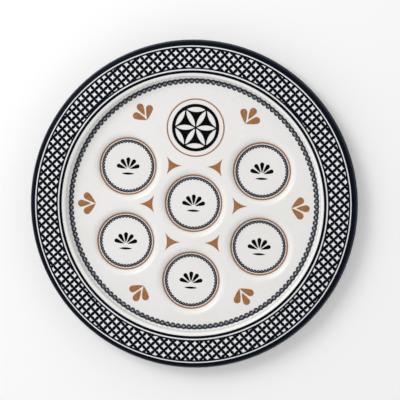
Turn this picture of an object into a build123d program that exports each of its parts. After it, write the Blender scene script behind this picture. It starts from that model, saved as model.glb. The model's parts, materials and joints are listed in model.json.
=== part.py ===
# A round seder plate: one moulded body with six wells, and the printed transfers seated on it.
# The plate lies face up on its foot ring. The origin is the middle of that ring's underside.
from build123d import *
from math import cos, hypot, pi, radians, sin, sqrt
import os

# Body: driving dimensions in millimetres
plate_diameter = 330.0
wall = 3.0
rim_rise = 11.5                # rim's top above the floor's top
well_depth = 5.3               # well's floor below the plate's floor
table_clearance = 0.8          # under the wells, so that the plate stands on its foot ring
lip_drop = 8.4                 # turned-down lip
lip_lean = 2.4
lip_radius = 4.7
rim_shoulder_radius = 3.3      # where the rim rolls down to the floor
rim_wall_lean = 1.1
floor_fillet = 1.0
foot_inset = 6.5               # foot ring's outer side, in from the floor's edge
foot_width = 3.2
foot_fillet = 0.9
well_shoulder_radius = 7.2
well_wall_lean = 3.3
well_fillet = 2.6
well_flange = 0.4              # flat collar round each well's shoulder
well_gap = 4.6                 # flat floor left between the middle well and its neighbours
well_margin = 7.85             # flat floor left between the outer wells and the lace
side_well_angle = 29.3         # side wells, above and below the plate's cross axis
side_well_reach = 0.5          # how much further out the side wells stand
side_well_drop = 2.2           # how far the four side wells sit below the middle
middle_well_rise = 0.9         # how far the middle well sits above the plate's middle
least_bend = 0.3               # smallest inside radius of the moulding

# Print: driving dimensions in millimetres
film = 0.2                     # thickness of a transfer
edge_gap = 1.2                 # white line inside the edge band
net_outer_line = 1.5
net_band = 19.0                # width of the open net
net_inner_line = 1.45
net_pitch = 6.3                # between the net's knots
net_ink_spread = 0.12          # how far the ink runs, which joins the petals at the knots
net_shift = 3.65               # how far a row of the net's cells sits above the plate's middle
net_turn = -0.44               # how far the net is turned, anticlockwise
pinstripe_gap = 1.4
pinstripe_width = 2.6
lace_pitch = 5.5
lace_bead = 2.68               # radius of a bead of the lace
lace_notch = 0.55              # depth of the notches between beads, in the lace's outer side
lace_slit_root = 1.3           # where a bead's three slits would meet, out from its centre
lace_slit_reach = 1.55         # from there to a slit's middle
lace_slit_length = 2.9
lace_slit_width = 0.42
lace_slit_spread = 32.0        # angle between neighbouring slits
well_lace_gap = 0.3            # between the well's lace and the foot of its wall
well_lace_pitch = 3.48
well_lace_bead = 1.65
well_lace_notch = 0.3
well_lace_eye = 0.35           # radius of a bead's open middle
well_line_inset = 0.2          # copper line's middle, in from the corner of the well's floor
well_line_width = 1.45
well_line_lift = 0.05          # clearance between the line and the bend that it lies in
title_ring_radius = 28.6
title_ring_width = 1.2
title_disc_radius = 23.8
title_petal_length = 21.0
title_petal_gap = 1.2          # black left at each end of a white petal
petal_swell = 6.1              # centre of the arc of a petal's side, past the centre of its round end
floret_margin = 6.45           # between the lace and the middle petal's tip
floret_length = 18.4
floret_root_gap = 5.2          # middle petal's start above the root
floret_side_length = 15.3
floret_side_gap = 0.3
floret_side_angle = 40.0
floret_petal_width = 6.9
side_floret_reach = 2.2        # how much further out the left and right florets stand
triangle_reach = 10.1          # from a triangle's middle to its points
triangle_hollow = 1.75
ornament_length = 12.2         # fan of petals in each well
ornament_petal_width = 4.0
ornament_root_gap = 1.8
ornament_spread = 35.0         # angle between neighbouring petals
ornament_petals = 5
ornament_drop = 3.4            # fan's root below the well's middle
ornament_bar_length = 13.0
ornament_bar_width = 2.1
ornament_bar_drop = 7.6

# Heights
well_top = table_clearance + wall
floor_top = well_top + well_depth
rim_top = floor_top + rim_rise
lip_end = rim_top - lip_drop

# Radii, worked out from the edge inwards
plate_radius = plate_diameter / 2
lip_slope = hypot(lip_drop, lip_lean)
lip_end_radius = plate_radius - film * lip_drop / lip_slope
lip_corner = lip_end_radius - lip_lean
lip_start = lip_corner - lip_radius * (lip_slope - lip_lean) / lip_drop
net_outer = lip_start - edge_gap
cells_outer = net_outer - net_outer_line
cells_inner = cells_outer - net_band
net_inner = cells_inner - net_inner_line
pinstripe_outer = net_inner - pinstripe_gap
pinstripe_inner = pinstripe_outer - pinstripe_width
rim_bend = (hypot(rim_rise, rim_wall_lean) - rim_wall_lean) / rim_rise
shoulder_corner = pinstripe_inner - rim_shoulder_radius * rim_bend
floor_corner = shoulder_corner - rim_wall_lean
floor_edge = floor_corner - floor_fillet * rim_bend
foot_outer = floor_edge - foot_inset
foot_inner = foot_outer - foot_width

# Wells: three of them side by side span the floor inside the lace
print_edge = floor_edge - 2 * lace_bead
wells_edge = print_edge - well_margin
well_mouth = (wells_edge - well_gap) / 3
ring_radius = wells_edge - well_mouth
well_bend = (hypot(well_depth, well_wall_lean) - well_wall_lean) / well_depth
well_shoulder_corner = well_mouth - well_flange - well_shoulder_radius * well_bend
well_corner = well_shoulder_corner - well_wall_lean
well_flat = well_corner - well_fillet * well_bend
side_x = (ring_radius + side_well_reach) * cos(radians(side_well_angle))
side_y = (ring_radius + side_well_reach) * sin(radians(side_well_angle))
well_places = {
    "centre": (0, middle_well_rise),
    "upper_left": (-side_x, side_y - side_well_drop),
    "upper_right": (side_x, side_y - side_well_drop),
    "lower_left": (-side_x, -side_y - side_well_drop),
    "lower_right": (side_x, -side_y - side_well_drop),
    "bottom": (0, -ring_radius),
}
title_place = (0, ring_radius)

# Directions of the six spaces between the wells, anticlockwise from the right, as their print was laid
space_angles = {
    "right": 0.2,
    "upper_right": 59.0,
    "upper_left": 120.6,
    "left": 181.7,
    "lower_left": 240.6,
    "lower_right": 301.0,
}
side_spaces = ("right", "left")

# Top of the moulding from the middle outwards: its corners, and the bend at each inner corner
plate_corners = [
    (0, floor_top),
    (floor_corner, floor_top),
    (shoulder_corner, rim_top),
    (lip_corner, rim_top),
    (lip_end_radius, lip_end),
]
plate_bends = [floor_fillet, rim_shoulder_radius, lip_radius]
well_corners = [
    (0, well_top),
    (well_corner, well_top),
    (well_shoulder_corner, floor_top),
    (well_mouth, floor_top),
]
well_bends = [well_fillet, well_shoulder_radius]


def raised(corners, height):
    """The corners of a line that runs the given height above, measured square to the first."""
    normals = []
    for (r0, z0), (r1, z1) in zip(corners, corners[1:]):
        length = hypot(r1 - r0, z1 - z0)
        normals.append(((z0 - z1) / length, (r1 - r0) / length))
    moved = []
    for (r, z), (r0, z0), (r1, z1) in zip(corners, normals[:1] + normals, normals + normals[-1:]):
        reach = height / (1 + r0 * r1 + z0 * z1)
        moved.append((r + reach * (r0 + r1), z + reach * (z0 + z1)))
    return moved


def raised_bends(corners, bends, height):
    """The bends that keep the raised line parallel to the first one."""
    moved = []
    for (r0, z0), (r1, z1), (r2, z2), bend in zip(corners, corners[1:], corners[2:], bends):
        turns_up = (r1 - r0) * (z2 - z1) > (z1 - z0) * (r2 - r1)
        moved.append(max(bend - height if turns_up else bend + height, least_bend))
    return moved


def layer_section(corners, bends, height, round_end=False):
    """Section of a layer between the line of corners and the line at a height above or below it."""
    other = raised(corners, height)
    direction = Vector(*corners[-1]) - Vector(*corners[-2])
    with BuildSketch(Plane.XZ) as section:
        with BuildLine():
            FilletPolyline(*corners, radius=bends)
            FilletPolyline(*other, radius=raised_bends(corners, bends, height))
            Line(corners[0], other[0])
            if round_end:
                JernArc(corners[-1], direction, abs(height) / 2, -180)
            else:
                Line(corners[-1], other[-1])
        make_face()
    return section.sketch


def film_section(corners, bends, inner, outer, lift=0):
    """Section of a transfer that follows the moulding's top between two radii, with a clearance under it."""
    with BuildSketch(Plane.XZ) as section:
        add(layer_section(raised(corners, lift), raised_bends(corners, bends, lift), film))
        with Locations(((inner + outer) / 2, rim_top / 2)):
            Rectangle(outer - inner, 2 * rim_top, mode=Mode.INTERSECT)
    return section.sketch


def lens(length, width):
    """A petal along Y that is pointed at both ends, with its middle at the origin."""
    with BuildSketch() as petal:
        with BuildLine():
            ThreePointArc((0, -length / 2), (width / 2, 0), (0, length / 2))
            ThreePointArc((0, length / 2), (-width / 2, 0), (0, -length / 2))
        make_face()
    return petal.sketch


def teardrop(start, end, width):
    """A petal along Y with a point at its start, swelling sides and a round end."""
    end_radius = width / 2
    middle = end - end_radius
    height = middle + petal_swell - start
    side_radius = ((middle - start) * (height + petal_swell) + end_radius**2) / width
    side_centre = sqrt(side_radius**2 - height**2)
    meet_x = end_radius * side_centre / (side_radius - end_radius)
    meet_y = middle - end_radius * petal_swell / (side_radius - end_radius)
    bulge_y = (start + meet_y) / 2
    bulge_x = sqrt(side_radius**2 - (middle + petal_swell - bulge_y) ** 2) - side_centre
    with BuildSketch() as petal:
        with BuildLine():
            ThreePointArc((0, start), (bulge_x, bulge_y), (meet_x, meet_y))
            ThreePointArc((meet_x, meet_y), (0, end), (-meet_x, meet_y))
            ThreePointArc((-meet_x, meet_y), (-bulge_x, bulge_y), (0, start))
        make_face()
    return petal.sketch


def lace(outer, pitch, bead, notch, opening):
    """A ring of beads on a strip, each with an opening in it whose Y axis points inwards."""
    middle = outer - bead
    count = round(2 * pi * middle / pitch)
    with BuildSketch() as ring:
        Circle(outer - notch)
        Circle(middle, mode=Mode.SUBTRACT)
        with PolarLocations(middle, count, start_angle=90):
            Circle(bead)
        with PolarLocations(middle, count, start_angle=90):
            add(opening, rotation=90, mode=Mode.SUBTRACT)
    return ring.sketch


def lace_slits():
    """The opening in a bead of the floor's lace: three slits that spread from one root."""
    with BuildSketch() as slits:
        with Locations((0, -lace_slit_root)):
            with PolarLocations(
                lace_slit_reach, 3, 90 - lace_slit_spread, angular_range=2 * lace_slit_spread, endpoint=True
            ):
                add(lens(lace_slit_length, lace_slit_width), rotation=90)
    return slits.sketch


def round_opening(radius):
    """The opening in a bead of a well's lace."""
    with BuildSketch() as opening:
        Circle(radius)
    return opening.sketch


def net_face():
    """The inked net of overlapping circles: a flat ring with a four-pointed opening in each cell."""
    step = net_pitch * sqrt(2)
    ink_radius = net_pitch / sqrt(2) + net_ink_spread
    tip = (net_pitch - sqrt(2 * ink_radius**2 - net_pitch**2)) / sqrt(2)
    waist = (net_pitch - ink_radius) / sqrt(2)
    with BuildLine() as cell:
        ThreePointArc((tip, 0), (waist, waist), (0, tip))
        ThreePointArc((0, tip), (-waist, waist), (-tip, 0))
        ThreePointArc((-tip, 0), (-waist, -waist), (0, -tip))
        ThreePointArc((0, -tip), (waist, -waist), (tip, 0))
    openings = [Wire.make_circle(net_inner)]
    turned = Location((0, 0, 0), (0, 0, net_turn))
    rows = 2 * int(cells_outer / step) + 4
    for row in range(-rows, rows + 1):
        for column in range(-rows, rows + 1):
            x = (column + row % 2 / 2) * step
            y = net_shift + row * step / 2
            if cells_inner + tip < hypot(x, y) < cells_outer - tip:
                openings.append(cell.wire().moved(turned * Location((x, y, 0))))
    return Face(Wire.make_circle(net_outer), openings)


def triangle_outline():
    """A triangle with hollow sides and one point along X, with its middle at the origin."""
    point = Vector(triangle_reach, 0)
    waist = Vector(triangle_reach / 2 - triangle_hollow, 0)
    with BuildSketch() as outline:
        with BuildLine():
            for turn in (0, 120, 240):
                ThreePointArc(
                    point.rotate(Axis.Z, turn),
                    waist.rotate(Axis.Z, turn + 60),
                    point.rotate(Axis.Z, turn + 120),
                )
        make_face()
    return outline.sketch


def export(name, part):
    """Label a finished piece and write it under its own name."""
    part.label = name
    export_step(part, f"parts/{name}.step")


os.makedirs("parts", exist_ok=True)

# One well's bowl, which the body takes in at each well's place
with BuildPart() as well_bowl:
    revolve(layer_section(well_corners, well_bends, -wall).faces(), axis=Axis.Z)

with BuildPart() as plate_body:
    revolve(layer_section(plate_corners, plate_bends, -wall, round_end=True).faces(), axis=Axis.Z)
    with BuildSketch(Plane.XZ) as foot_section:
        with Locations(((foot_inner + foot_outer) / 2, 0)):
            Rectangle(foot_width, floor_top - wall / 2, align=(Align.CENTER, Align.MIN))
        fillet(foot_section.vertices().group_by(Axis.Y)[0], foot_fillet)
    revolve(axis=Axis.Z)
    with BuildSketch(Plane.XY.offset(floor_top)):
        with Locations(*well_places.values()):
            Circle(well_mouth)
    extrude(amount=-2 * wall, mode=Mode.SUBTRACT)
    with Locations(*well_places.values()):
        add(well_bowl.part)
export("plate_body", plate_body.part)

# Rim print
with BuildPart() as edge_band:
    revolve(film_section(plate_corners, plate_bends, lip_start, plate_radius + film).faces(), axis=Axis.Z)
export("edge_band", edge_band.part)

with BuildPart() as rim_pinstripe:
    revolve(film_section(plate_corners, plate_bends, pinstripe_inner, pinstripe_outer).faces(), axis=Axis.Z)
export("rim_pinstripe", rim_pinstripe.part)

with BuildPart() as rim_net:
    extrude(net_face().moved(Location((0, 0, rim_top))), amount=film, clean=False)
export("rim_net", rim_net.part)

# Floor print
with BuildPart() as floor_lace:
    with BuildSketch(Plane.XY.offset(floor_top)):
        add(lace(floor_edge, lace_pitch, lace_bead, lace_notch, lace_slits()))
    extrude(amount=film)
export("floor_lace", floor_lace.part)

with BuildPart() as title_ring:
    with BuildSketch(Plane.XY.offset(floor_top)):
        with Locations(title_place):
            Circle(title_ring_radius + title_ring_width / 2)
            Circle(title_ring_radius - title_ring_width / 2, mode=Mode.SUBTRACT)
    extrude(amount=film)
export("title_ring", title_ring.part)

# A rosette of compass arcs, left white in a black disc
with BuildPart() as title_rosette:
    compass_width = title_petal_length * (2 - sqrt(3))
    petal = lens(title_petal_length - 2 * title_petal_gap, compass_width - title_petal_gap / 2)
    with BuildSketch(Plane.XY.offset(floor_top)):
        with Locations(title_place):
            Circle(title_disc_radius)
            with PolarLocations(title_petal_length / 2, 6):
                add(petal, rotation=-90, mode=Mode.SUBTRACT)
            with PolarLocations(title_petal_length * sqrt(3) / 2, 6, start_angle=30):
                add(petal, mode=Mode.SUBTRACT)
    extrude(amount=film)
export("title_rosette", title_rosette.part)

middle_petal = teardrop(floret_root_gap, floret_length, floret_petal_width)
side_petal = teardrop(floret_side_gap, floret_side_length, floret_petal_width)
floret_root = print_edge - floret_margin - floret_length
for space, angle in space_angles.items():
    reach = side_floret_reach if space in side_spaces else 0
    with BuildPart() as floret:
        with BuildSketch(Plane.XY.offset(floor_top)):
            with PolarLocations(floret_root + reach, 1, start_angle=angle):
                add(middle_petal, rotation=-90)
                add(side_petal, rotation=-90 - floret_side_angle)
                add(side_petal, rotation=-90 + floret_side_angle)
        extrude(amount=film)
    export(f"floret_{space}", floret.part)

    with BuildPart() as triangle:
        with BuildSketch(Plane.XY.offset(floor_top)):
            with PolarLocations(ring_radius / sqrt(3), 1, start_angle=angle):
                add(triangle_outline())
        extrude(amount=film)
    export(f"triangle_{space}", triangle.part)

# Well print, the same in every well
well_lace_outer = well_flat - well_lace_gap
well_eye = round_opening(well_lace_eye)
well_lace = lace(well_lace_outer, well_lace_pitch, well_lace_bead, well_lace_notch, well_eye)
well_line_outer = well_corner - well_line_inset + well_line_width / 2
well_line_inner = well_line_outer - well_line_width
well_line = film_section(well_corners, well_bends, well_line_inner, well_line_outer, well_line_lift)
for place, (x, y) in well_places.items():
    with BuildPart() as line_ring:
        revolve(well_line.moved(Location((x, y, 0))).faces(), axis=Axis((x, y, 0), (0, 0, 1)))
    export(f"well_line_{place}", line_ring.part)

    with BuildPart() as lace_ring:
        with BuildSketch(Plane.XY.offset(well_top)):
            with Locations((x, y)):
                add(well_lace)
        extrude(amount=film)
    export(f"well_lace_{place}", lace_ring.part)

    with BuildPart() as ornament:
        with BuildSketch(Plane.XY.offset(well_top)):
            with Locations((x, y - ornament_drop)):
                for turn in range(ornament_petals):
                    lean = (turn - (ornament_petals - 1) / 2) * ornament_spread
                    add(teardrop(ornament_root_gap, ornament_length, ornament_petal_width), rotation=lean)
            with Locations((x, y - ornament_bar_drop)):
                add(lens(ornament_bar_length, ornament_bar_width), rotation=90)
        extrude(amount=film)
    export(f"well_ornament_{place}", ornament.part)
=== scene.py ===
# Looks of a round seder plate: a white moulding with six wells, and the transfers printed on it.
import json
from math import cos, hypot, pi, radians, sin, sqrt, tan

import bmesh
import bpy
from mathutils import Matrix, Vector


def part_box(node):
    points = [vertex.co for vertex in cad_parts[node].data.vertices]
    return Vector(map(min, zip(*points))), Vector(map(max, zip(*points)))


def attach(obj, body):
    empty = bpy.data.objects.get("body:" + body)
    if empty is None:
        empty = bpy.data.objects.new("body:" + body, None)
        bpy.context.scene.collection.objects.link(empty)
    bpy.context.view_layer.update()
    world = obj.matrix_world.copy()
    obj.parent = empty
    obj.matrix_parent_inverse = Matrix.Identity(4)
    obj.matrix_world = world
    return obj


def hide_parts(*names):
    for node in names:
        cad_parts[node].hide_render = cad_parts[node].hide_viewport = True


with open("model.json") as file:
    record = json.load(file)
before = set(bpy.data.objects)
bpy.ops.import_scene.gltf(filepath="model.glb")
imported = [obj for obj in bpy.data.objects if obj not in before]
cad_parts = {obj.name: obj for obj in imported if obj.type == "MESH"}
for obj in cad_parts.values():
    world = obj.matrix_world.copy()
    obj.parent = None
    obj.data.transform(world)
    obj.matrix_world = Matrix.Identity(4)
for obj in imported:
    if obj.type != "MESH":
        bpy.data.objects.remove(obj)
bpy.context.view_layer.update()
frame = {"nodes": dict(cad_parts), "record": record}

bl_info = {
    "name": "Seder Plate",
    "version": (1, 0, 0),
    "blender": (4, 5, 0),
    "location": "3D View > Sidebar > Plate",
    "description": "Models a printed seder plate over its CAD frame, with its finishes and stage",
    "category": "Object",
}

ROOT = "root"
WELLS = ("centre", "upper_left", "upper_right", "lower_left", "lower_right", "bottom")
LACES = ("floor_lace", *(f"well_lace_{well}" for well in WELLS))
RIM_STEPS = 288                # round the whole plate
WELL_STEPS = 96                # round one well
BEND_STEPS = 8                 # along one bend of the moulding
ARC_STEPS = 6                  # along one side of a cell of the net
EDGE_SUPPORT = 0.0004          # flat strip beside each bend, which keeps the flats flat to the light
RIPPLE_HEIGHT = 0.0005         # of the moulded surface, before the ripple's strength
WEAR_TURNS = (radians(17), radians(71), radians(128))  # directions of the hairlines of wear
SEED_SIZE = 0.001              # plane that is merged to the first point of a line
SMOOTH_ANGLE = radians(35)     # an edge sharper than this stays sharp
LIP_SEGMENTS = 5               # of the rounding at the end of the lip
LIP_SHARE = 0.49               # of the wall that the rounding of each of the lip's edges takes
FOOT_SEGMENTS = 4              # of the rounding of the foot ring
NEAR = 1e-5                    # within this, two places are the same
MERGE = 1e-6                   # joins the points of a seam
CUT_MERGE = 2e-6               # joins the points that a cut leaves almost on each other
LINE_LAP = 3e-5                # of the net's lines over the cells that they cut
SPARE_ROWS = 5                 # of cells past the net's band, which are deleted again
PINSTRIPE_WIDTH = 0.0026       # of the line inside the rim, whose inner side is where the rim rolls down
WELL_LINE_INSET = 0.0002       # copper line's middle, in from the corner of a well's floor
WELL_LINE_WIDTH = 0.00145      # of that line
MOTTLE = "pigment mottle"      # names of the shared shader groups
WEAR = "table wear"
RIPPLE = "pressed ripple"
LACE_INK = "lace_print"        # weaker ink of the laces, which are in the navy slot


def length(name, description, default):
    """A size in metres that the sidebar shows as a length."""
    return bpy.props.FloatProperty(
        name=name, description=description, default=default, precision=5, subtype="DISTANCE", unit="LENGTH"
    )


def angle(name, description, degrees):
    """An angle that the sidebar shows in degrees."""
    return bpy.props.FloatProperty(
        name=name, description=description, default=radians(degrees), subtype="ANGLE", unit="ROTATION"
    )


def colour(name, description, default):
    """A colour in linear light."""
    return bpy.props.FloatVectorProperty(
        name=name, description=description, default=default, size=3, min=0, max=1, subtype="COLOR"
    )


def share(name, description, default):
    """A number that has no unit."""
    return bpy.props.FloatProperty(name=name, description=description, default=default)


class PlateSizes(bpy.types.PropertyGroup):
    """Sizes of the moulded plate. The outer ones come from the CAD frame."""

    diameter: length("Diameter", "Across the edge band", 2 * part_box("edge_band")[1].x)
    rim_top: length("Rim height", "Top of the rim above the table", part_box("rim_net")[0].z)
    floor_top: length("Floor height", "Top of the floor above the table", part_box("floor_lace")[0].z)
    well_top: length("Well height", "Top of a well's floor above the table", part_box("well_lace_centre")[0].z)
    rim_inner: length(
        "Rim edge", "Radius at which the rim rolls down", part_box("rim_pinstripe")[1].x - PINSTRIPE_WIDTH
    )
    well_corner: length(
        "Well corner",
        "Radius at which a well's floor and wall would meet",
        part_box("well_line_centre")[1].x + WELL_LINE_INSET - WELL_LINE_WIDTH / 2,
    )
    wall: length("Wall", "Thickness of the moulding", 0.003)
    lip_drop: length("Lip drop", "Height of the turned-down lip", 0.0084)
    lip_lean: length("Lip lean", "How far the lip leans out", 0.0024)
    lip_radius: length("Lip bend", "Radius of the bend at the lip", 0.0047)
    rim_shoulder: length("Rim bend", "Radius of the bend where the rim rolls down", 0.0033)
    rim_wall_lean: length("Wall lean", "How far the wall below the rim leans out", 0.0011)
    floor_fillet: length("Floor bend", "Radius of the bend at the floor's edge", 0.001)
    foot_inset: length("Foot inset", "Foot ring's outer side, in from the floor's edge", 0.0065)
    foot_width: length("Foot width", "Width of the foot ring", 0.0032)
    foot_fillet: length("Foot bend", "Rounding of the foot ring's edges", 0.0009)
    well_shoulder: length("Well shoulder", "Radius of the bend at a well's mouth", 0.0072)
    well_wall_lean: length("Well lean", "How far a well's wall leans out", 0.0033)
    well_fillet: length("Well bend", "Radius of the bend at a well's floor", 0.0026)
    well_flange: length("Well flange", "Flat collar round a well's shoulder", 0.0004)


class PrintSizes(bpy.types.PropertyGroup):
    """Sizes of the transfers that are modelled here."""

    film: length("Film", "Thickness of a transfer", 0.0002)
    net_outer: length("Net edge", "Outer radius of the rim's net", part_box("rim_net")[1].x)
    net_outer_line: length("Outer line", "Width of the line outside the net", 0.0015)
    net_band: length("Net band", "Width of the open net", 0.019)
    net_inner_line: length("Inner line", "Width of the line inside the net", 0.00145)
    net_pitch: length("Net pitch", "Distance between the net's knots", 0.0063)
    net_ink_spread: length("Ink spread", "How far the ink runs, which joins the petals", 0.00018)
    net_shift: length("Net shift", "How far a row of cells sits above the plate's middle", 0.00365)
    net_turn: angle("Net turn", "How far the net is turned, anticlockwise", -0.44)
    well_line_inset: length("Line inset", "Copper line's middle, in from the well's corner", WELL_LINE_INSET)
    well_line_width: length("Line width", "Width of the copper line in a well", WELL_LINE_WIDTH)
    well_line_lift: length("Line lift", "Clearance under the copper line", 0.00005)


class PlateFinishes(bpy.types.PropertyGroup):
    """Colours and surfaces of the moulding and of the inks."""

    white: colour("White", "Moulded body", (0.825, 0.815, 0.803))
    cream: colour("Cream", "Warmer clouds in the moulded body", (0.805, 0.792, 0.77))
    navy: colour("Navy", "Ink of the rim", (0.0012, 0.003, 0.008))
    thin_navy: colour("Thin navy", "Navy ink where it is thin", (0.0024, 0.0055, 0.0135))
    lace_navy: colour("Lace navy", "Weaker navy ink of the laces", (0.03, 0.034, 0.048))
    thin_lace_navy: colour("Thin lace navy", "Lace ink where it is thin", (0.043, 0.049, 0.066))
    black: colour("Black", "Ink of the ornaments", (0.0012, 0.0013, 0.0018))
    thin_black: colour("Thin black", "Black ink where it is thin", (0.003, 0.0032, 0.004))
    copper: colour("Copper", "Ink of the petals, triangles and lines", (0.38, 0.178, 0.076))
    dark_copper: colour("Dark copper", "Copper ink where it is thick", (0.294, 0.129, 0.051))
    resin_clouds: share("Resin clouds", "Clouds in a metre of the moulded body", 18.0)
    ink_clouds: share("Ink clouds", "Clouds in a metre of ink", 480.0)
    glaze_roughness: share("Glaze roughness", "Roughness of the moulded body", 0.26)
    ink_roughness: share("Ink roughness", "Roughness of the inks", 0.32)
    wear: share("Wear", "Roughness that the hairlines of wear add", 0.1)
    ripple: share("Ripple", "Strength of the ripple that the pressing leaves", 0.05)
    glaze_reflection: share("Glaze reflection", "Specular level of the moulded body", 0.5)
    ink_reflection: share("Ink reflection", "Specular level of the inks", 0.03)


class StageSettings(bpy.types.PropertyGroup):
    """Floor, light and camera."""

    floor_colour: colour("Floor", "Pale floor", (0.93, 0.93, 0.935))
    floor_size: length("Floor size", "Across the floor", 12.0)
    floor_roughness: share("Floor roughness", "Roughness of the floor", 0.8)
    floor_reflection: share("Floor reflection", "Specular level of the floor", 0.2)
    low_sky: share("Low sky", "Strength of the soft light at the horizon", 1.42)
    high_sky: share("High sky", "Strength of the soft light overhead", 0.4)
    key_power: share("Key power", "Watts of the soft lamp at the upper left", 13.0)
    key_size: length("Key size", "Side of the soft lamp", 0.9)
    key_place: bpy.props.FloatVectorProperty(
        name="Key place", description="Where the soft lamp hangs", default=(-0.95, 0.75, 1.25), unit="LENGTH"
    )
    azimuth: angle("Azimuth", "Camera's direction, round from the plate's right", 34.2)
    elevation: angle("Elevation", "Camera's direction above the plate's face", 83.05)
    roll: angle("Roll", "Camera's roll, anticlockwise", 1.95)
    distance: length("Distance", "From the camera to the rim's plane", 1.65)
    aim_right: length("Aim right", "How far right of the plate's middle the camera aims", 0.0082)
    aim_up: length("Aim up", "How far above the plate's middle the camera aims", 0.0052)
    lens: share("Lens", "Focal length in millimetres", 148.75)


def clear_selection():
    """Object mode with nothing selected."""
    if bpy.context.object and bpy.context.object.mode != "OBJECT":
        bpy.ops.object.mode_set(mode="OBJECT")
    bpy.ops.object.select_all(action="DESELECT")


def make_active(piece):
    """Selects one piece alone and makes it the active one."""
    clear_selection()
    piece.select_set(True)
    bpy.context.view_layer.objects.active = piece


def start_line(name, place):
    """A new piece in edit mode that holds one selected vertex."""
    clear_selection()
    bpy.ops.mesh.primitive_plane_add(size=SEED_SIZE)
    piece = bpy.context.object
    piece.name = name
    piece.data.name = name
    bpy.ops.object.mode_set(mode="EDIT")
    bpy.ops.mesh.select_mode(type="VERT")
    bpy.ops.mesh.merge(type="CENTER")
    bpy.ops.transform.translate(value=place)
    return piece


def extrude(step):
    """Extrudes what is selected along a step."""
    bpy.ops.mesh.extrude_region_move(TRANSFORM_OT_translate={"value": step})


def sweep(turn, centre, axis, steps):
    """Sweeps what is selected round a centre. The spin tool counts its angle the other way."""
    bpy.ops.mesh.spin(steps=steps, angle=-turn, center=centre, axis=axis, use_auto_merge=False)


def section_place(point):
    """A point of a section, which is a radius and a height, in space."""
    return Vector((point.x, 0, point.y))


def draw_section(corners, bends):
    """Draws a section from the selected vertex, with a round bend at each inner corner."""
    corners = [Vector(corner) for corner in corners]
    here = corners[0]
    for before, corner, after, bend in zip(corners, corners[1:], corners[2:], bends):
        arrive = (corner - before).normalized()
        leave = (after - corner).normalized()
        turn = arrive.angle_signed(leave)
        reach = bend * tan(abs(turn) / 2)
        start = corner - arrive * reach
        stops = [start - arrive * EDGE_SUPPORT, start] if bend else [start]
        for there in stops:
            if (there - here).dot(arrive) > NEAR:
                extrude(section_place(there - here))
                here = there
        if bend:
            inward = Vector((arrive.y, -arrive.x)) if turn > 0 else Vector((-arrive.y, arrive.x))
            sweep(turn, section_place(start + inward * bend), (0, 1, 0), BEND_STEPS)
            here = corner + leave * reach
        if bend and (after - here).dot(leave) > 2 * EDGE_SUPPORT:
            extrude(section_place(leave * EDGE_SUPPORT))
            here = here + leave * EDGE_SUPPORT
    extrude(section_place(corners[-1] - here))


def revolve(steps):
    """Turns the drawn section once round the upright axis and closes the seam."""
    bpy.ops.mesh.select_all(action="SELECT")
    bpy.ops.mesh.spin(steps=steps, angle=2 * pi, center=(0, 0, 0), axis=(0, 0, 1))
    bpy.ops.mesh.select_all(action="SELECT")
    bpy.ops.mesh.remove_doubles(threshold=MERGE)


def face_up():
    """Turns all faces of an open sheet one way, with its widest level face upwards."""
    bpy.ops.mesh.select_all(action="SELECT")
    bpy.ops.mesh.normals_make_consistent(inside=False)
    mesh = bmesh.from_edit_mesh(bpy.context.object.data)
    widest = max(mesh.faces, key=lambda face: abs(face.normal.z) * face.calc_area())
    if widest.normal.z < 0:
        bpy.ops.mesh.flip_normals()


def select(kind, wanted):
    """Selects, in edit mode, the edges or faces of the active piece that are wanted."""
    bpy.ops.mesh.select_all(action="DESELECT")
    bpy.ops.mesh.select_mode(type="EDGE" if kind == "edges" else "FACE")
    mesh = bmesh.from_edit_mesh(bpy.context.object.data)
    chosen = [item for item in getattr(mesh, kind) if wanted(item)]
    if not chosen:
        raise RuntimeError(f"no {kind} to select in {bpy.context.object.name}")
    for item in chosen:
        item.select_set(True)
    bmesh.update_edit_mesh(bpy.context.object.data)


def radius_of(place):
    """Distance from the plate's axis."""
    return hypot(place.x, place.y)


def runs_round(edge):
    """True for an edge that lies along a circle about the plate's axis."""
    first, second = (vertex.co for vertex in edge.verts)
    return abs(radius_of(first) - radius_of(second)) < NEAR and abs(first.z - second.z) < NEAR


def add_modifier(piece, kind, **values):
    """Adds a modifier with its values and applies it."""
    make_active(piece)
    bpy.ops.object.modifier_add(type=kind)
    modifier = piece.modifiers[-1]
    for name, value in values.items():
        setattr(modifier, name, value)
    bpy.ops.object.modifier_apply(modifier=modifier.name)


def thicken(piece, thickness, side):
    """Gives a sheet a wall, above its faces where side is 1 and below them where it is -1."""
    add_modifier(
        piece,
        "SOLIDIFY",
        thickness=thickness,
        offset=side,
        use_even_offset=True,
        use_quality_normals=True,
    )


def finish_piece(piece, slot, *nodes):
    """Smooths a finished piece, gives it its finish and seats it in the frame in place of its CAD nodes."""
    make_active(piece)
    bpy.ops.object.shade_smooth_by_angle(angle=SMOOTH_ANGLE)
    piece.data.materials.clear()
    piece.data.materials.append(finish(slot))
    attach(piece, ROOT)
    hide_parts(*nodes)


def copy_piece(piece, name, step):
    """A copy of a piece with its own mesh, moved by a step."""
    make_active(piece)
    bpy.ops.object.duplicate(linked=False)
    twin = bpy.context.object
    twin.name = name
    twin.data.name = name
    bpy.ops.object.mode_set(mode="EDIT")
    bpy.ops.mesh.select_all(action="SELECT")
    bpy.ops.transform.translate(value=step)
    bpy.ops.object.mode_set(mode="OBJECT")
    return twin


def bend_run(rise, lean):
    """How far a bend of radius 1 reaches along a flat, where a wall of that rise and lean meets it."""
    return (hypot(rise, lean) - lean) / rise


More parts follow.
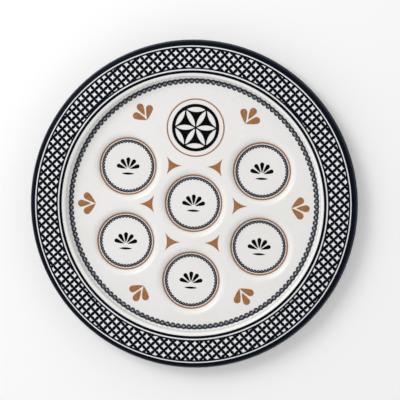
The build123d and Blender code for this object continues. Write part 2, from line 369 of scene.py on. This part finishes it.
def rim_section(sizes, film):
    """Corners and bends of the plate's top from the foot ring's inner side to the end of the lip."""
    run = bend_run(sizes.rim_top - sizes.floor_top, sizes.rim_wall_lean)
    shoulder_corner = sizes.rim_inner - sizes.rim_shoulder * run
    floor_corner = shoulder_corner - sizes.rim_wall_lean
    floor_edge = floor_corner - sizes.floor_fillet * run
    lip_slope = hypot(sizes.lip_drop, sizes.lip_lean)
    lip_end = sizes.diameter / 2 - film * sizes.lip_drop / lip_slope
    foot_outer = floor_edge - sizes.foot_inset
    corners = [
        (foot_outer - sizes.foot_width, sizes.floor_top),
        (foot_outer, sizes.floor_top),
        (floor_corner, sizes.floor_top),
        (shoulder_corner, sizes.rim_top),
        (lip_end - sizes.lip_lean, sizes.rim_top),
        (lip_end, sizes.rim_top - sizes.lip_drop),
    ]
    return corners, [0, sizes.floor_fillet, sizes.rim_shoulder, sizes.lip_radius]


def well_flat(sizes):
    """Radius of a well's flat floor."""
    run = bend_run(sizes.floor_top - sizes.well_top, sizes.well_wall_lean)
    return sizes.well_corner - sizes.well_fillet * run


def well_section(sizes):
    """Corners and bends of a well from its mouth to its floor."""
    run = bend_run(sizes.floor_top - sizes.well_top, sizes.well_wall_lean)
    shoulder_corner = sizes.well_corner + sizes.well_wall_lean
    mouth = shoulder_corner + sizes.well_shoulder * run + sizes.well_flange
    corners = [
        (mouth, sizes.floor_top),
        (shoulder_corner, sizes.floor_top),
        (sizes.well_corner, sizes.well_top),
        (well_flat(sizes) - 2 * EDGE_SUPPORT, sizes.well_top),
    ]
    return corners, [sizes.well_shoulder, sizes.well_fillet]


def well_places():
    """Middle of each well, from the CAD frame."""
    places = {}
    for well in WELLS:
        low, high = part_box(f"well_line_{well}")
        places[well] = Vector(((low.x + high.x) / 2, (low.y + high.y) / 2, 0))
    return places


def model_wells(sizes):
    """One mesh with the six wells as open sheets, joined from one that is modelled and copied."""
    corners, bends = well_section(sizes)
    places = well_places()
    piece = start_line("wells", section_place(Vector(corners[0])))
    draw_section(corners, bends)
    revolve(WELL_STEPS)
    select("edges", lambda edge: edge.is_boundary and edge.verts[0].co.z < sizes.well_top + NEAR)
    bpy.ops.mesh.edge_face_add()
    bpy.ops.mesh.select_all(action="SELECT")
    bpy.ops.transform.translate(value=places[WELLS[0]])
    for before, after in zip(WELLS, WELLS[1:]):
        bpy.ops.mesh.duplicate_move(TRANSFORM_OT_translate={"value": places[after] - places[before]})
    bpy.ops.object.mode_set(mode="OBJECT")
    return piece


def model_moulding(sizes, film):
    """The whole plate: rim and lip, floor, wells, wall thickness and foot ring."""
    wells = model_wells(sizes)
    corners, bends = rim_section(sizes, film)
    lip_way = (Vector(corners[-1]) - Vector(corners[-2])).normalized()
    tip = Vector(corners[-1]) + lip_way * sizes.wall / 2
    piece = start_line("moulded_plate", section_place(Vector(corners[0])))
    draw_section(corners[:-1] + [tip], bends)
    revolve(RIM_STEPS)
    bpy.ops.object.mode_set(mode="OBJECT")
    make_active(piece)
    wells.select_set(True)
    bpy.ops.object.join()
    bpy.ops.object.mode_set(mode="EDIT")
    select("edges", lambda edge: edge.is_boundary and abs(edge.verts[0].co.z - sizes.floor_top) < NEAR)
    bpy.ops.mesh.fill(use_beauty=True)
    face_up()
    thicken(piece, sizes.wall, -1)
    bpy.ops.object.mode_set(mode="EDIT")
    round_lip(sizes, tip)
    add_foot(sizes, corners[0][0], corners[1][0])
    bpy.ops.object.mode_set(mode="OBJECT")
    return piece


def round_lip(sizes, tip):
    """Rounds the two edges at the end of the lip."""
    mesh = bmesh.from_edit_mesh(bpy.context.object.data)
    ends = [face for face in mesh.faces if is_lip_end(face, sizes, tip)]
    rims = {edge for face in ends for edge in face.edges if runs_round(edge)}
    select("edges", lambda edge: edge in rims)
    offset = LIP_SHARE * sizes.wall
    bpy.ops.mesh.bevel(offset=offset, segments=LIP_SEGMENTS, affect="EDGES", clamp_overlap=True)


def is_lip_end(face, sizes, tip):
    """True for a face of the narrow ring that closes the wall at the end of the lip."""
    middle = face.calc_center_median()
    lip = Vector((sizes.lip_lean, -sizes.lip_drop)).normalized()
    facing = Vector((radius_of(face.normal), face.normal.z))
    return radius_of(middle) > tip.x - sizes.wall and facing.dot(lip) > cos(SMOOTH_ANGLE)


def add_foot(sizes, inner, outer):
    """Draws the foot ring down from the underside of the floor and rounds its edges."""
    underside = sizes.floor_top - sizes.wall

    def on_strip(face):
        middle = face.calc_center_median()
        return face.normal.z < 0 and abs(middle.z - underside) < NEAR and inner < radius_of(middle) < outer

    select("faces", on_strip)
    extrude((0, 0, -underside))
    select("edges", lambda edge: runs_round(edge) and edge.verts[0].co.z < NEAR)
    bpy.ops.mesh.bevel(offset=sizes.foot_fillet, segments=FOOT_SEGMENTS, affect="EDGES")


def model_edge_band(sizes, film):
    """The band of print over the bend and the turned-down lip."""
    corners, bends = rim_section(sizes, film)
    run = bend_run(sizes.lip_drop, sizes.lip_lean)
    start = (corners[-2][0] - sizes.lip_radius * run, sizes.rim_top)
    piece = start_line("edge_band_print", section_place(Vector(start)))
    draw_section([start, corners[-2], corners[-1]], bends[-1:])
    revolve(RIM_STEPS)
    face_up()
    thicken(piece, film, 1)
    return piece


class PLATE_OT_moulded_plate(bpy.types.Operator):
    """Model the white moulding with its rim, lip, wells and foot ring"""

    bl_idname = "plate.moulded_plate"
    bl_label = "Moulded plate"

    def execute(self, context):
        piece = model_moulding(context.scene.plate_sizes, context.scene.print_sizes.film)
        finish_piece(piece, "white_melamine", "plate_body")
        return {"FINISHED"}


class PLATE_OT_edge_band(bpy.types.Operator):
    """Model the printed band that runs over the lip"""

    bl_idname = "plate.edge_band"
    bl_label = "Edge band"

    def execute(self, context):
        piece = model_edge_band(context.scene.plate_sizes, context.scene.print_sizes.film)
        finish_piece(piece, "navy_print", "edge_band")
        return {"FINISHED"}


def model_cell(pitch, spread):
    """One cell of the net in edit mode: a square between four knots, with a four-pointed opening."""
    half = pitch / 2
    ink = pitch / sqrt(2) + spread
    tip = (pitch - sqrt(2 * ink**2 - pitch**2)) / 2
    opening = 2 * Vector((pitch - tip, tip)).angle(Vector((1, 0)))
    piece = start_line("rim_net_print", (tip, -tip, 0))
    sweep(-opening, (pitch, 0, 0), (0, 0, 1), ARC_STEPS)
    bpy.ops.mesh.select_all(action="SELECT")
    extrude((0, 0, 0))
    bpy.ops.transform.resize(value=(0, half / tip, 1), center_override=(half, 0, 0))
    bpy.ops.mesh.select_all(action="SELECT")
    for _ in range(3):
        bpy.ops.mesh.duplicate()
        bpy.ops.transform.rotate(value=pi / 2, orient_axis="Z", center_override=(0, 0, 0))
    bpy.ops.mesh.select_all(action="SELECT")
    bpy.ops.mesh.remove_doubles(threshold=MERGE)
    bpy.ops.transform.rotate(value=pi / 4, orient_axis="Z", center_override=(0, 0, 0))
    return piece


def model_sheet(name, inner, outer, height):
    """A flat ring at a height that faces up and has no thickness."""
    clear_selection()
    bpy.ops.mesh.primitive_circle_add(vertices=RIM_STEPS, radius=inner)
    piece = bpy.context.object
    piece.name = name
    piece.data.name = name
    bpy.ops.object.mode_set(mode="EDIT")
    bpy.ops.mesh.select_mode(type="VERT")
    bpy.ops.mesh.select_all(action="SELECT")
    bpy.ops.transform.translate(value=(0, 0, height))
    extrude((0, 0, 0))
    bpy.ops.transform.resize(value=(outer / inner, outer / inner, 1), center_override=(0, 0, height))
    face_up()
    bpy.ops.object.mode_set(mode="OBJECT")
    return piece


def model_ring(name, inner, outer, height, thickness):
    """A flat ring with its underside at a height."""
    piece = model_sheet(name, inner, outer, height)
    thicken(piece, thickness, 1)
    return piece


def combine(piece, tool, operation):
    """Cuts or joins a piece with a tool, which is used up."""
    add_modifier(piece, "BOOLEAN", operation=operation, object=tool, solver="EXACT")
    bpy.data.objects.remove(tool)


def clean_cut(piece):
    """Joins the points that cuts leave almost on each other, and divides the faces into even triangles."""
    make_active(piece)
    bpy.ops.object.mode_set(mode="EDIT")
    bpy.ops.mesh.select_all(action="SELECT")
    bpy.ops.mesh.remove_doubles(threshold=CUT_MERGE)
    bpy.ops.mesh.quads_convert_to_tris(quad_method="BEAUTY", ngon_method="BEAUTY")
    bpy.ops.object.mode_set(mode="OBJECT")


def model_net(sizes, prints):
    """The rim's net of overlapping circles, cut to its band between two lines."""
    outer = prints.net_outer - prints.net_outer_line
    inner = outer - prints.net_band
    pitch = prints.net_pitch
    row_step = pitch / sqrt(2)
    rows = 2 * int(outer / pitch) + SPARE_ROWS
    piece = model_cell(pitch, prints.net_ink_spread)
    bpy.ops.transform.translate(value=(0, prints.net_shift - (rows - 1) * row_step, sizes.rim_top))
    bpy.ops.object.mode_set(mode="OBJECT")
    for side in (-1, 1):
        add_modifier(
            piece,
            "ARRAY",
            count=rows,
            use_relative_offset=False,
            use_constant_offset=True,
            constant_offset_displace=(side * row_step, row_step, 0),
            use_merge_vertices=True,
            merge_threshold=MERGE,
        )
    bpy.ops.object.mode_set(mode="EDIT")

    def off_band(face):
        place = radius_of(face.calc_center_median())
        return place < inner - pitch or place > outer + pitch

    select("faces", off_band)
    bpy.ops.mesh.delete(type="FACE")
    face_up()
    bpy.ops.transform.rotate(value=-prints.net_turn, orient_axis="Z", center_override=(0, 0, 0))
    bpy.ops.object.mode_set(mode="OBJECT")
    thicken(piece, prints.film, 1)
    # The cutter stands a film past the net, below and above
    band = model_ring("net_cutter", inner, outer, sizes.rim_top - prints.film, 3 * prints.film)
    combine(piece, band, "INTERSECT")
    lines = (
        (inner - prints.net_inner_line, inner + LINE_LAP),
        (outer - LINE_LAP, prints.net_outer),
    )
    for line_inner, line_outer in lines:
        combine(piece, model_ring("net_line", line_inner, line_outer, sizes.rim_top, prints.film), "UNION")
    clean_cut(piece)
    return piece


class PLATE_OT_rim_net(bpy.types.Operator):
    """Model the net of overlapping circles on the rim, with the cells that its two lines cut"""

    bl_idname = "plate.rim_net"
    bl_label = "Rim net"

    def execute(self, context):
        piece = model_net(context.scene.plate_sizes, context.scene.print_sizes)
        finish_piece(piece, "navy_print", "rim_net")
        return {"FINISHED"}


def model_well_line(sizes, prints, place):
    """One copper line that lies in the bend at the foot of the wall of the well at a place."""
    outer = sizes.well_corner - prints.well_line_inset + prints.well_line_width / 2
    inner = outer - prints.well_line_width
    bend = sizes.well_fillet - prints.well_line_lift
    centre = Vector((well_flat(sizes), sizes.well_top + sizes.well_fillet))
    start = Vector((inner - centre.x, -sqrt(bend**2 - (inner - centre.x) ** 2)))
    end = Vector((outer - centre.x, -sqrt(bend**2 - (outer - centre.x) ** 2)))
    piece = start_line("well_line_print_centre", section_place(centre + start))
    sweep(start.angle_signed(end), section_place(centre), (0, 1, 0), BEND_STEPS)
    revolve(WELL_STEPS)
    face_up()
    bpy.ops.transform.translate(value=place)
    bpy.ops.object.mode_set(mode="OBJECT")
    thicken(piece, prints.film, 1)
    return piece


class PLATE_OT_well_lines(bpy.types.Operator):
    """Model the copper line in one well and copy it to the others"""

    bl_idname = "plate.well_lines"
    bl_label = "Well lines"

    def execute(self, context):
        places = well_places()
        first = model_well_line(context.scene.plate_sizes, context.scene.print_sizes, places[WELLS[0]])
        lines = {WELLS[0]: first}
        for well in WELLS[1:]:
            lines[well] = copy_piece(first, f"well_line_print_{well}", places[well] - places[WELLS[0]])
        for well, piece in lines.items():
            finish_piece(piece, "copper_print", f"well_line_{well}")
        return {"FINISHED"}


class PLATE_OT_flat_prints(bpy.types.Operator):
    """Give the flat transfers, which keep their CAD shapes, their inks"""

    bl_idname = "plate.flat_prints"
    bl_label = "Flat prints"

    def execute(self, context):
        for row in frame["record"]["subparts"]:
            node = frame["nodes"][row["node"]]
            node.data.materials.clear()
            ink = LACE_INK if row["node"] in LACES else row["material_slot"]
            node.data.materials.append(finish(ink))
        return {"FINISHED"}


def add_node(tree, kind, links=None, **values):
    """Adds a node, sets its own values, and fills its inputs with sockets or numbers."""
    node = tree.nodes.new(kind)
    for name, value in values.items():
        setattr(node, name, value)
    for name, source in (links or {}).items():
        if isinstance(source, bpy.types.NodeSocket):
            tree.links.new(source, node.inputs[name])
        else:
            node.inputs[name].default_value = source
    return node


def start_group(name, inputs, output):
    """A new shader group with a vector, some numbers and one number out."""
    group = bpy.data.node_groups.new(name, "ShaderNodeTree")
    group.interface.new_socket("Vector", in_out="INPUT", socket_type="NodeSocketVector")
    for label, default in inputs.items():
        socket = group.interface.new_socket(label, in_out="INPUT", socket_type="NodeSocketFloat")
        socket.default_value = default
    group.interface.new_socket(output, in_out="OUTPUT", socket_type="NodeSocketFloat")
    return group, group.nodes.new("NodeGroupInput").outputs, group.nodes.new("NodeGroupOutput").inputs


def add_noise(group, place, given, names):
    """Adds a noise at a place that takes the named inputs of its group."""
    return add_node(group, "ShaderNodeTexNoise", {"Vector": place, **{name: given[name] for name in names}})


def mottle_group():
    """Soft clouds from 0 to 1, as pigment settles in resin or ink."""
    values = {"Scale": 60.0, "Detail": 4.0, "Roughness": 0.6, "Low": 0.35, "High": 0.65}
    group, given, out = start_group(MOTTLE, values, "Mask")
    noise = add_noise(group, given["Vector"], given, ("Scale", "Detail", "Roughness"))
    spread = add_node(
        group,
        "ShaderNodeMapRange",
        {"Value": noise.outputs["Fac"], "From Min": given["Low"], "From Max": given["High"]},
        interpolation_type="SMOOTHSTEP",
    )
    group.links.new(spread.outputs["Result"], out["Mask"])
    return group


def wear_group():
    """Fine hairlines in several directions, as cutlery and washing leave them."""
    values = {"Scale": 30.0, "Detail": 2.0, "Length": 40.0, "Faint": 0.62, "Clear": 0.7}
    group, given, out = start_group(WEAR, values, "Mask")
    strongest = None
    for turn in WEAR_TURNS:
        turned = add_node(
            group,
            "ShaderNodeMapping",
            {"Vector": given["Vector"], "Rotation": (0, 0, turn)},
        )
        parts = add_node(group, "ShaderNodeSeparateXYZ", {"Vector": turned.outputs["Vector"]})
        stretched = add_node(
            group, "ShaderNodeMath", {0: parts.outputs["Y"], 1: given["Length"]}, operation="MULTIPLY"
        )
        place = add_node(
            group,
            "ShaderNodeCombineXYZ",
            {"X": parts.outputs["X"], "Y": stretched.outputs[0], "Z": parts.outputs["Z"]},
        )
        noise = add_noise(group, place.outputs["Vector"], given, ("Scale", "Detail"))
        line = add_node(
            group,
            "ShaderNodeMapRange",
            {"Value": noise.outputs["Fac"], "From Min": given["Faint"], "From Max": given["Clear"]},
        )
        mask = line.outputs["Result"]
        if strongest is not None:
            mask = add_node(group, "ShaderNodeMath", {0: strongest, 1: mask}, operation="MAXIMUM").outputs[0]
        strongest = mask
    group.links.new(strongest, out["Mask"])
    return group


def ripple_group():
    """The slight ripple that a pressed and glazed surface has."""
    values = {"Scale": 350.0, "Detail": 2.0, "Roughness": 0.4}
    group, given, out = start_group(RIPPLE, values, "Height")
    noise = add_noise(group, given["Vector"], given, values)
    group.links.new(noise.outputs["Fac"], out["Height"])
    return group


def shared_group(name, build):
    """A shader group by its name, built when it is first asked for."""
    return bpy.data.node_groups.get(name) or build()


def use_group(tree, name, build, vector, values=None):
    """Places a shared group in a material with its own values, and gives its output."""
    node = tree.nodes.new("ShaderNodeGroup")
    node.node_tree = shared_group(name, build)
    tree.links.new(vector, node.inputs["Vector"])
    for label, value in (values or {}).items():
        node.inputs[label].default_value = value
    return node.outputs[0]


def make_finish(name, main, second, clouds, roughness, reflection):
    """A glazed finish: two colours in clouds, gloss that wear dulls, and the ripple of the pressing."""
    looks = bpy.context.scene.plate_finishes
    material = bpy.data.materials.new(name)
    material.use_nodes = True
    tree = material.node_tree
    shader = tree.nodes["Principled BSDF"]
    place = tree.nodes.new("ShaderNodeTexCoord").outputs["Object"]
    mask = use_group(tree, MOTTLE, mottle_group, place, {"Scale": clouds})
    mix = add_node(tree, "ShaderNodeMix", {"Factor": mask}, data_type="RGBA")
    colours = [socket for socket in mix.inputs if socket.type == "RGBA"]
    colours[0].default_value = (*main, 1)
    colours[1].default_value = (*second, 1)
    blended = next(socket for socket in mix.outputs if socket.type == "RGBA")
    tree.links.new(blended, shader.inputs["Base Color"])
    hairlines = use_group(tree, WEAR, wear_group, place)
    rough = add_node(
        tree,
        "ShaderNodeMapRange",
        {"Value": hairlines, "To Min": roughness, "To Max": roughness + looks.wear},
    )
    tree.links.new(rough.outputs["Result"], shader.inputs["Roughness"])
    height = use_group(tree, RIPPLE, ripple_group, place)
    bump = add_node(
        tree, "ShaderNodeBump", {"Height": height, "Strength": looks.ripple, "Distance": RIPPLE_HEIGHT}
    )
    tree.links.new(bump.outputs["Normal"], shader.inputs["Normal"])
    shader.inputs["Specular IOR Level"].default_value = reflection
    return material


def finish(slot):
    """The finish of a material slot or of the laces, made when it is first asked for."""
    name = f"{slot} finish"
    if name in bpy.data.materials:
        return bpy.data.materials[name]
    looks = bpy.context.scene.plate_finishes
    if slot == "white_melamine":
        surface = (looks.resin_clouds, looks.glaze_roughness, looks.glaze_reflection)
        return make_finish(name, looks.white, looks.cream, *surface)
    inks = {
        "navy_print": (looks.navy, looks.thin_navy),
        LACE_INK: (looks.lace_navy, looks.thin_lace_navy),
        "black_print": (looks.black, looks.thin_black),
        "copper_print": (looks.copper, looks.dark_copper),
    }
    return make_finish(name, *inks[slot], looks.ink_clouds, looks.ink_roughness, looks.ink_reflection)


def make_floor(settings, sizes, film):
    """A wide pale floor that is clear from below and open under the foot ring, so that light gets there."""
    corners, _ = rim_section(sizes, film)
    hole = corners[1][0] - sizes.foot_fillet / 2
    floor = model_sheet("studio_floor", hole, settings.floor_size / 2, 0)
    material = bpy.data.materials.new("studio floor")
    material.use_nodes = True
    tree = material.node_tree
    shader = tree.nodes["Principled BSDF"]
    shader.inputs["Base Color"].default_value = (*settings.floor_colour, 1)
    shader.inputs["Roughness"].default_value = settings.floor_roughness
    shader.inputs["Specular IOR Level"].default_value = settings.floor_reflection
    clear = tree.nodes.new("ShaderNodeBsdfTransparent")
    side = tree.nodes.new("ShaderNodeNewGeometry").outputs["Backfacing"]
    mix = tree.nodes.new("ShaderNodeMixShader")
    tree.links.new(side, mix.inputs["Fac"])
    tree.links.new(shader.outputs["BSDF"], mix.inputs[1])
    tree.links.new(clear.outputs["BSDF"], mix.inputs[2])
    tree.links.new(mix.outputs["Shader"], tree.nodes["Material Output"].inputs["Surface"])
    floor.data.materials.append(material)


def make_light(settings):
    """Soft light all round that is brighter near the horizon, and one soft lamp at the plate's upper left."""
    scene = bpy.context.scene
    scene.world = bpy.data.worlds.new("studio")
    scene.world.use_nodes = True
    tree = scene.world.node_tree
    sky = tree.nodes["Background"]
    sky.inputs["Color"].default_value = (1, 1, 1, 1)
    way = tree.nodes.new("ShaderNodeTexCoord").outputs["Generated"]
    height = add_node(tree, "ShaderNodeSeparateXYZ", {"Vector": way}).outputs["Z"]
    slope = add_node(tree, "ShaderNodeMath", {0: height}, operation="ABSOLUTE").outputs[0]
    power = add_node(
        tree, "ShaderNodeMapRange", {"Value": slope, "To Min": settings.low_sky, "To Max": settings.high_sky}
    )
    tree.links.new(power.outputs["Result"], sky.inputs["Strength"])
    lamp = bpy.data.lights.new("soft_key", "AREA")
    lamp.energy = settings.key_power
    lamp.size = settings.key_size
    key = bpy.data.objects.new("soft_key", lamp)
    key.location = settings.key_place
    key.rotation_euler = (-Vector(settings.key_place)).to_track_quat("-Z", "Y").to_euler()
    scene.collection.objects.link(key)


def make_camera(settings, rim_top):
    """The photograph's view, almost square to the plate's face."""
    scene = bpy.context.scene
    back = Vector(
        (
            cos(settings.elevation) * cos(settings.azimuth),
            cos(settings.elevation) * sin(settings.azimuth),
            sin(settings.elevation),
        )
    )
    up = Vector((0, 1, 0))
    up = Matrix.Rotation(settings.roll, 3, back) @ (up - up.project(back)).normalized()
    right = up.cross(back)
    aim = Vector((0, 0, rim_top)) + right * settings.aim_right + up * settings.aim_up
    lens = bpy.data.cameras.new("camera")
    lens.lens = settings.lens
    camera = bpy.data.objects.new("camera", lens)
    camera.matrix_world = Matrix((right, up, back)).transposed().to_4x4()
    camera.location = aim + back * settings.distance
    scene.collection.objects.link(camera)
    scene.camera = camera


class PLATE_OT_stage(bpy.types.Operator):
    """Set up the floor, the light and the camera"""

    bl_idname = "plate.stage"
    bl_label = "Stage"

    def execute(self, context):
        settings = context.scene.stage_settings
        sizes = context.scene.plate_sizes
        make_floor(settings, sizes, context.scene.print_sizes.film)
        make_light(settings)
        make_camera(settings, sizes.rim_top)
        context.scene.view_settings.view_transform = "Standard"
        return {"FINISHED"}


class PLATE_PT_sidebar(bpy.types.Panel):
    """The plate's steps and settings"""

    bl_idname = "PLATE_PT_sidebar"
    bl_label = "Seder plate"
    bl_space_type = "VIEW_3D"
    bl_region_type = "UI"
    bl_category = "Plate"

    def draw(self, context):
        for step in STEPS:
            self.layout.operator(step.bl_idname)
        for group in SETTINGS:
            box = self.layout.box()
            settings = getattr(context.scene, group)
            for name in settings.bl_rna.properties.keys():
                if name not in ("rna_type", "name"):
                    box.prop(settings, name)


SETTINGS = {
    "plate_sizes": PlateSizes,
    "print_sizes": PrintSizes,
    "plate_finishes": PlateFinishes,
    "stage_settings": StageSettings,
}
STEPS = (
    PLATE_OT_flat_prints,
    PLATE_OT_moulded_plate,
    PLATE_OT_edge_band,
    PLATE_OT_rim_net,
    PLATE_OT_well_lines,
    PLATE_OT_stage,
)


def register():
    """Registers the settings, the steps and the panel."""
    for name, group in SETTINGS.items():
        bpy.utils.register_class(group)
        setattr(bpy.types.Scene, name, bpy.props.PointerProperty(type=group))
    for item in (*STEPS, PLATE_PT_sidebar):
        bpy.utils.register_class(item)


def unregister():
    """Takes the panel, the steps and the settings away again."""
    for item in (PLATE_PT_sidebar, *reversed(STEPS)):
        bpy.utils.unregister_class(item)
    for name, group in SETTINGS.items():
        delattr(bpy.types.Scene, name)
        bpy.utils.unregister_class(group)


def main():
    """Builds the plate and its stage."""
    register()
    for step in (
        bpy.ops.plate.flat_prints,
        bpy.ops.plate.moulded_plate,
        bpy.ops.plate.edge_band,
        bpy.ops.plate.rim_net,
        bpy.ops.plate.well_lines,
        bpy.ops.plate.stage,
    ):
        step()
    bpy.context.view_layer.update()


if __name__ == "__main__":
    main()
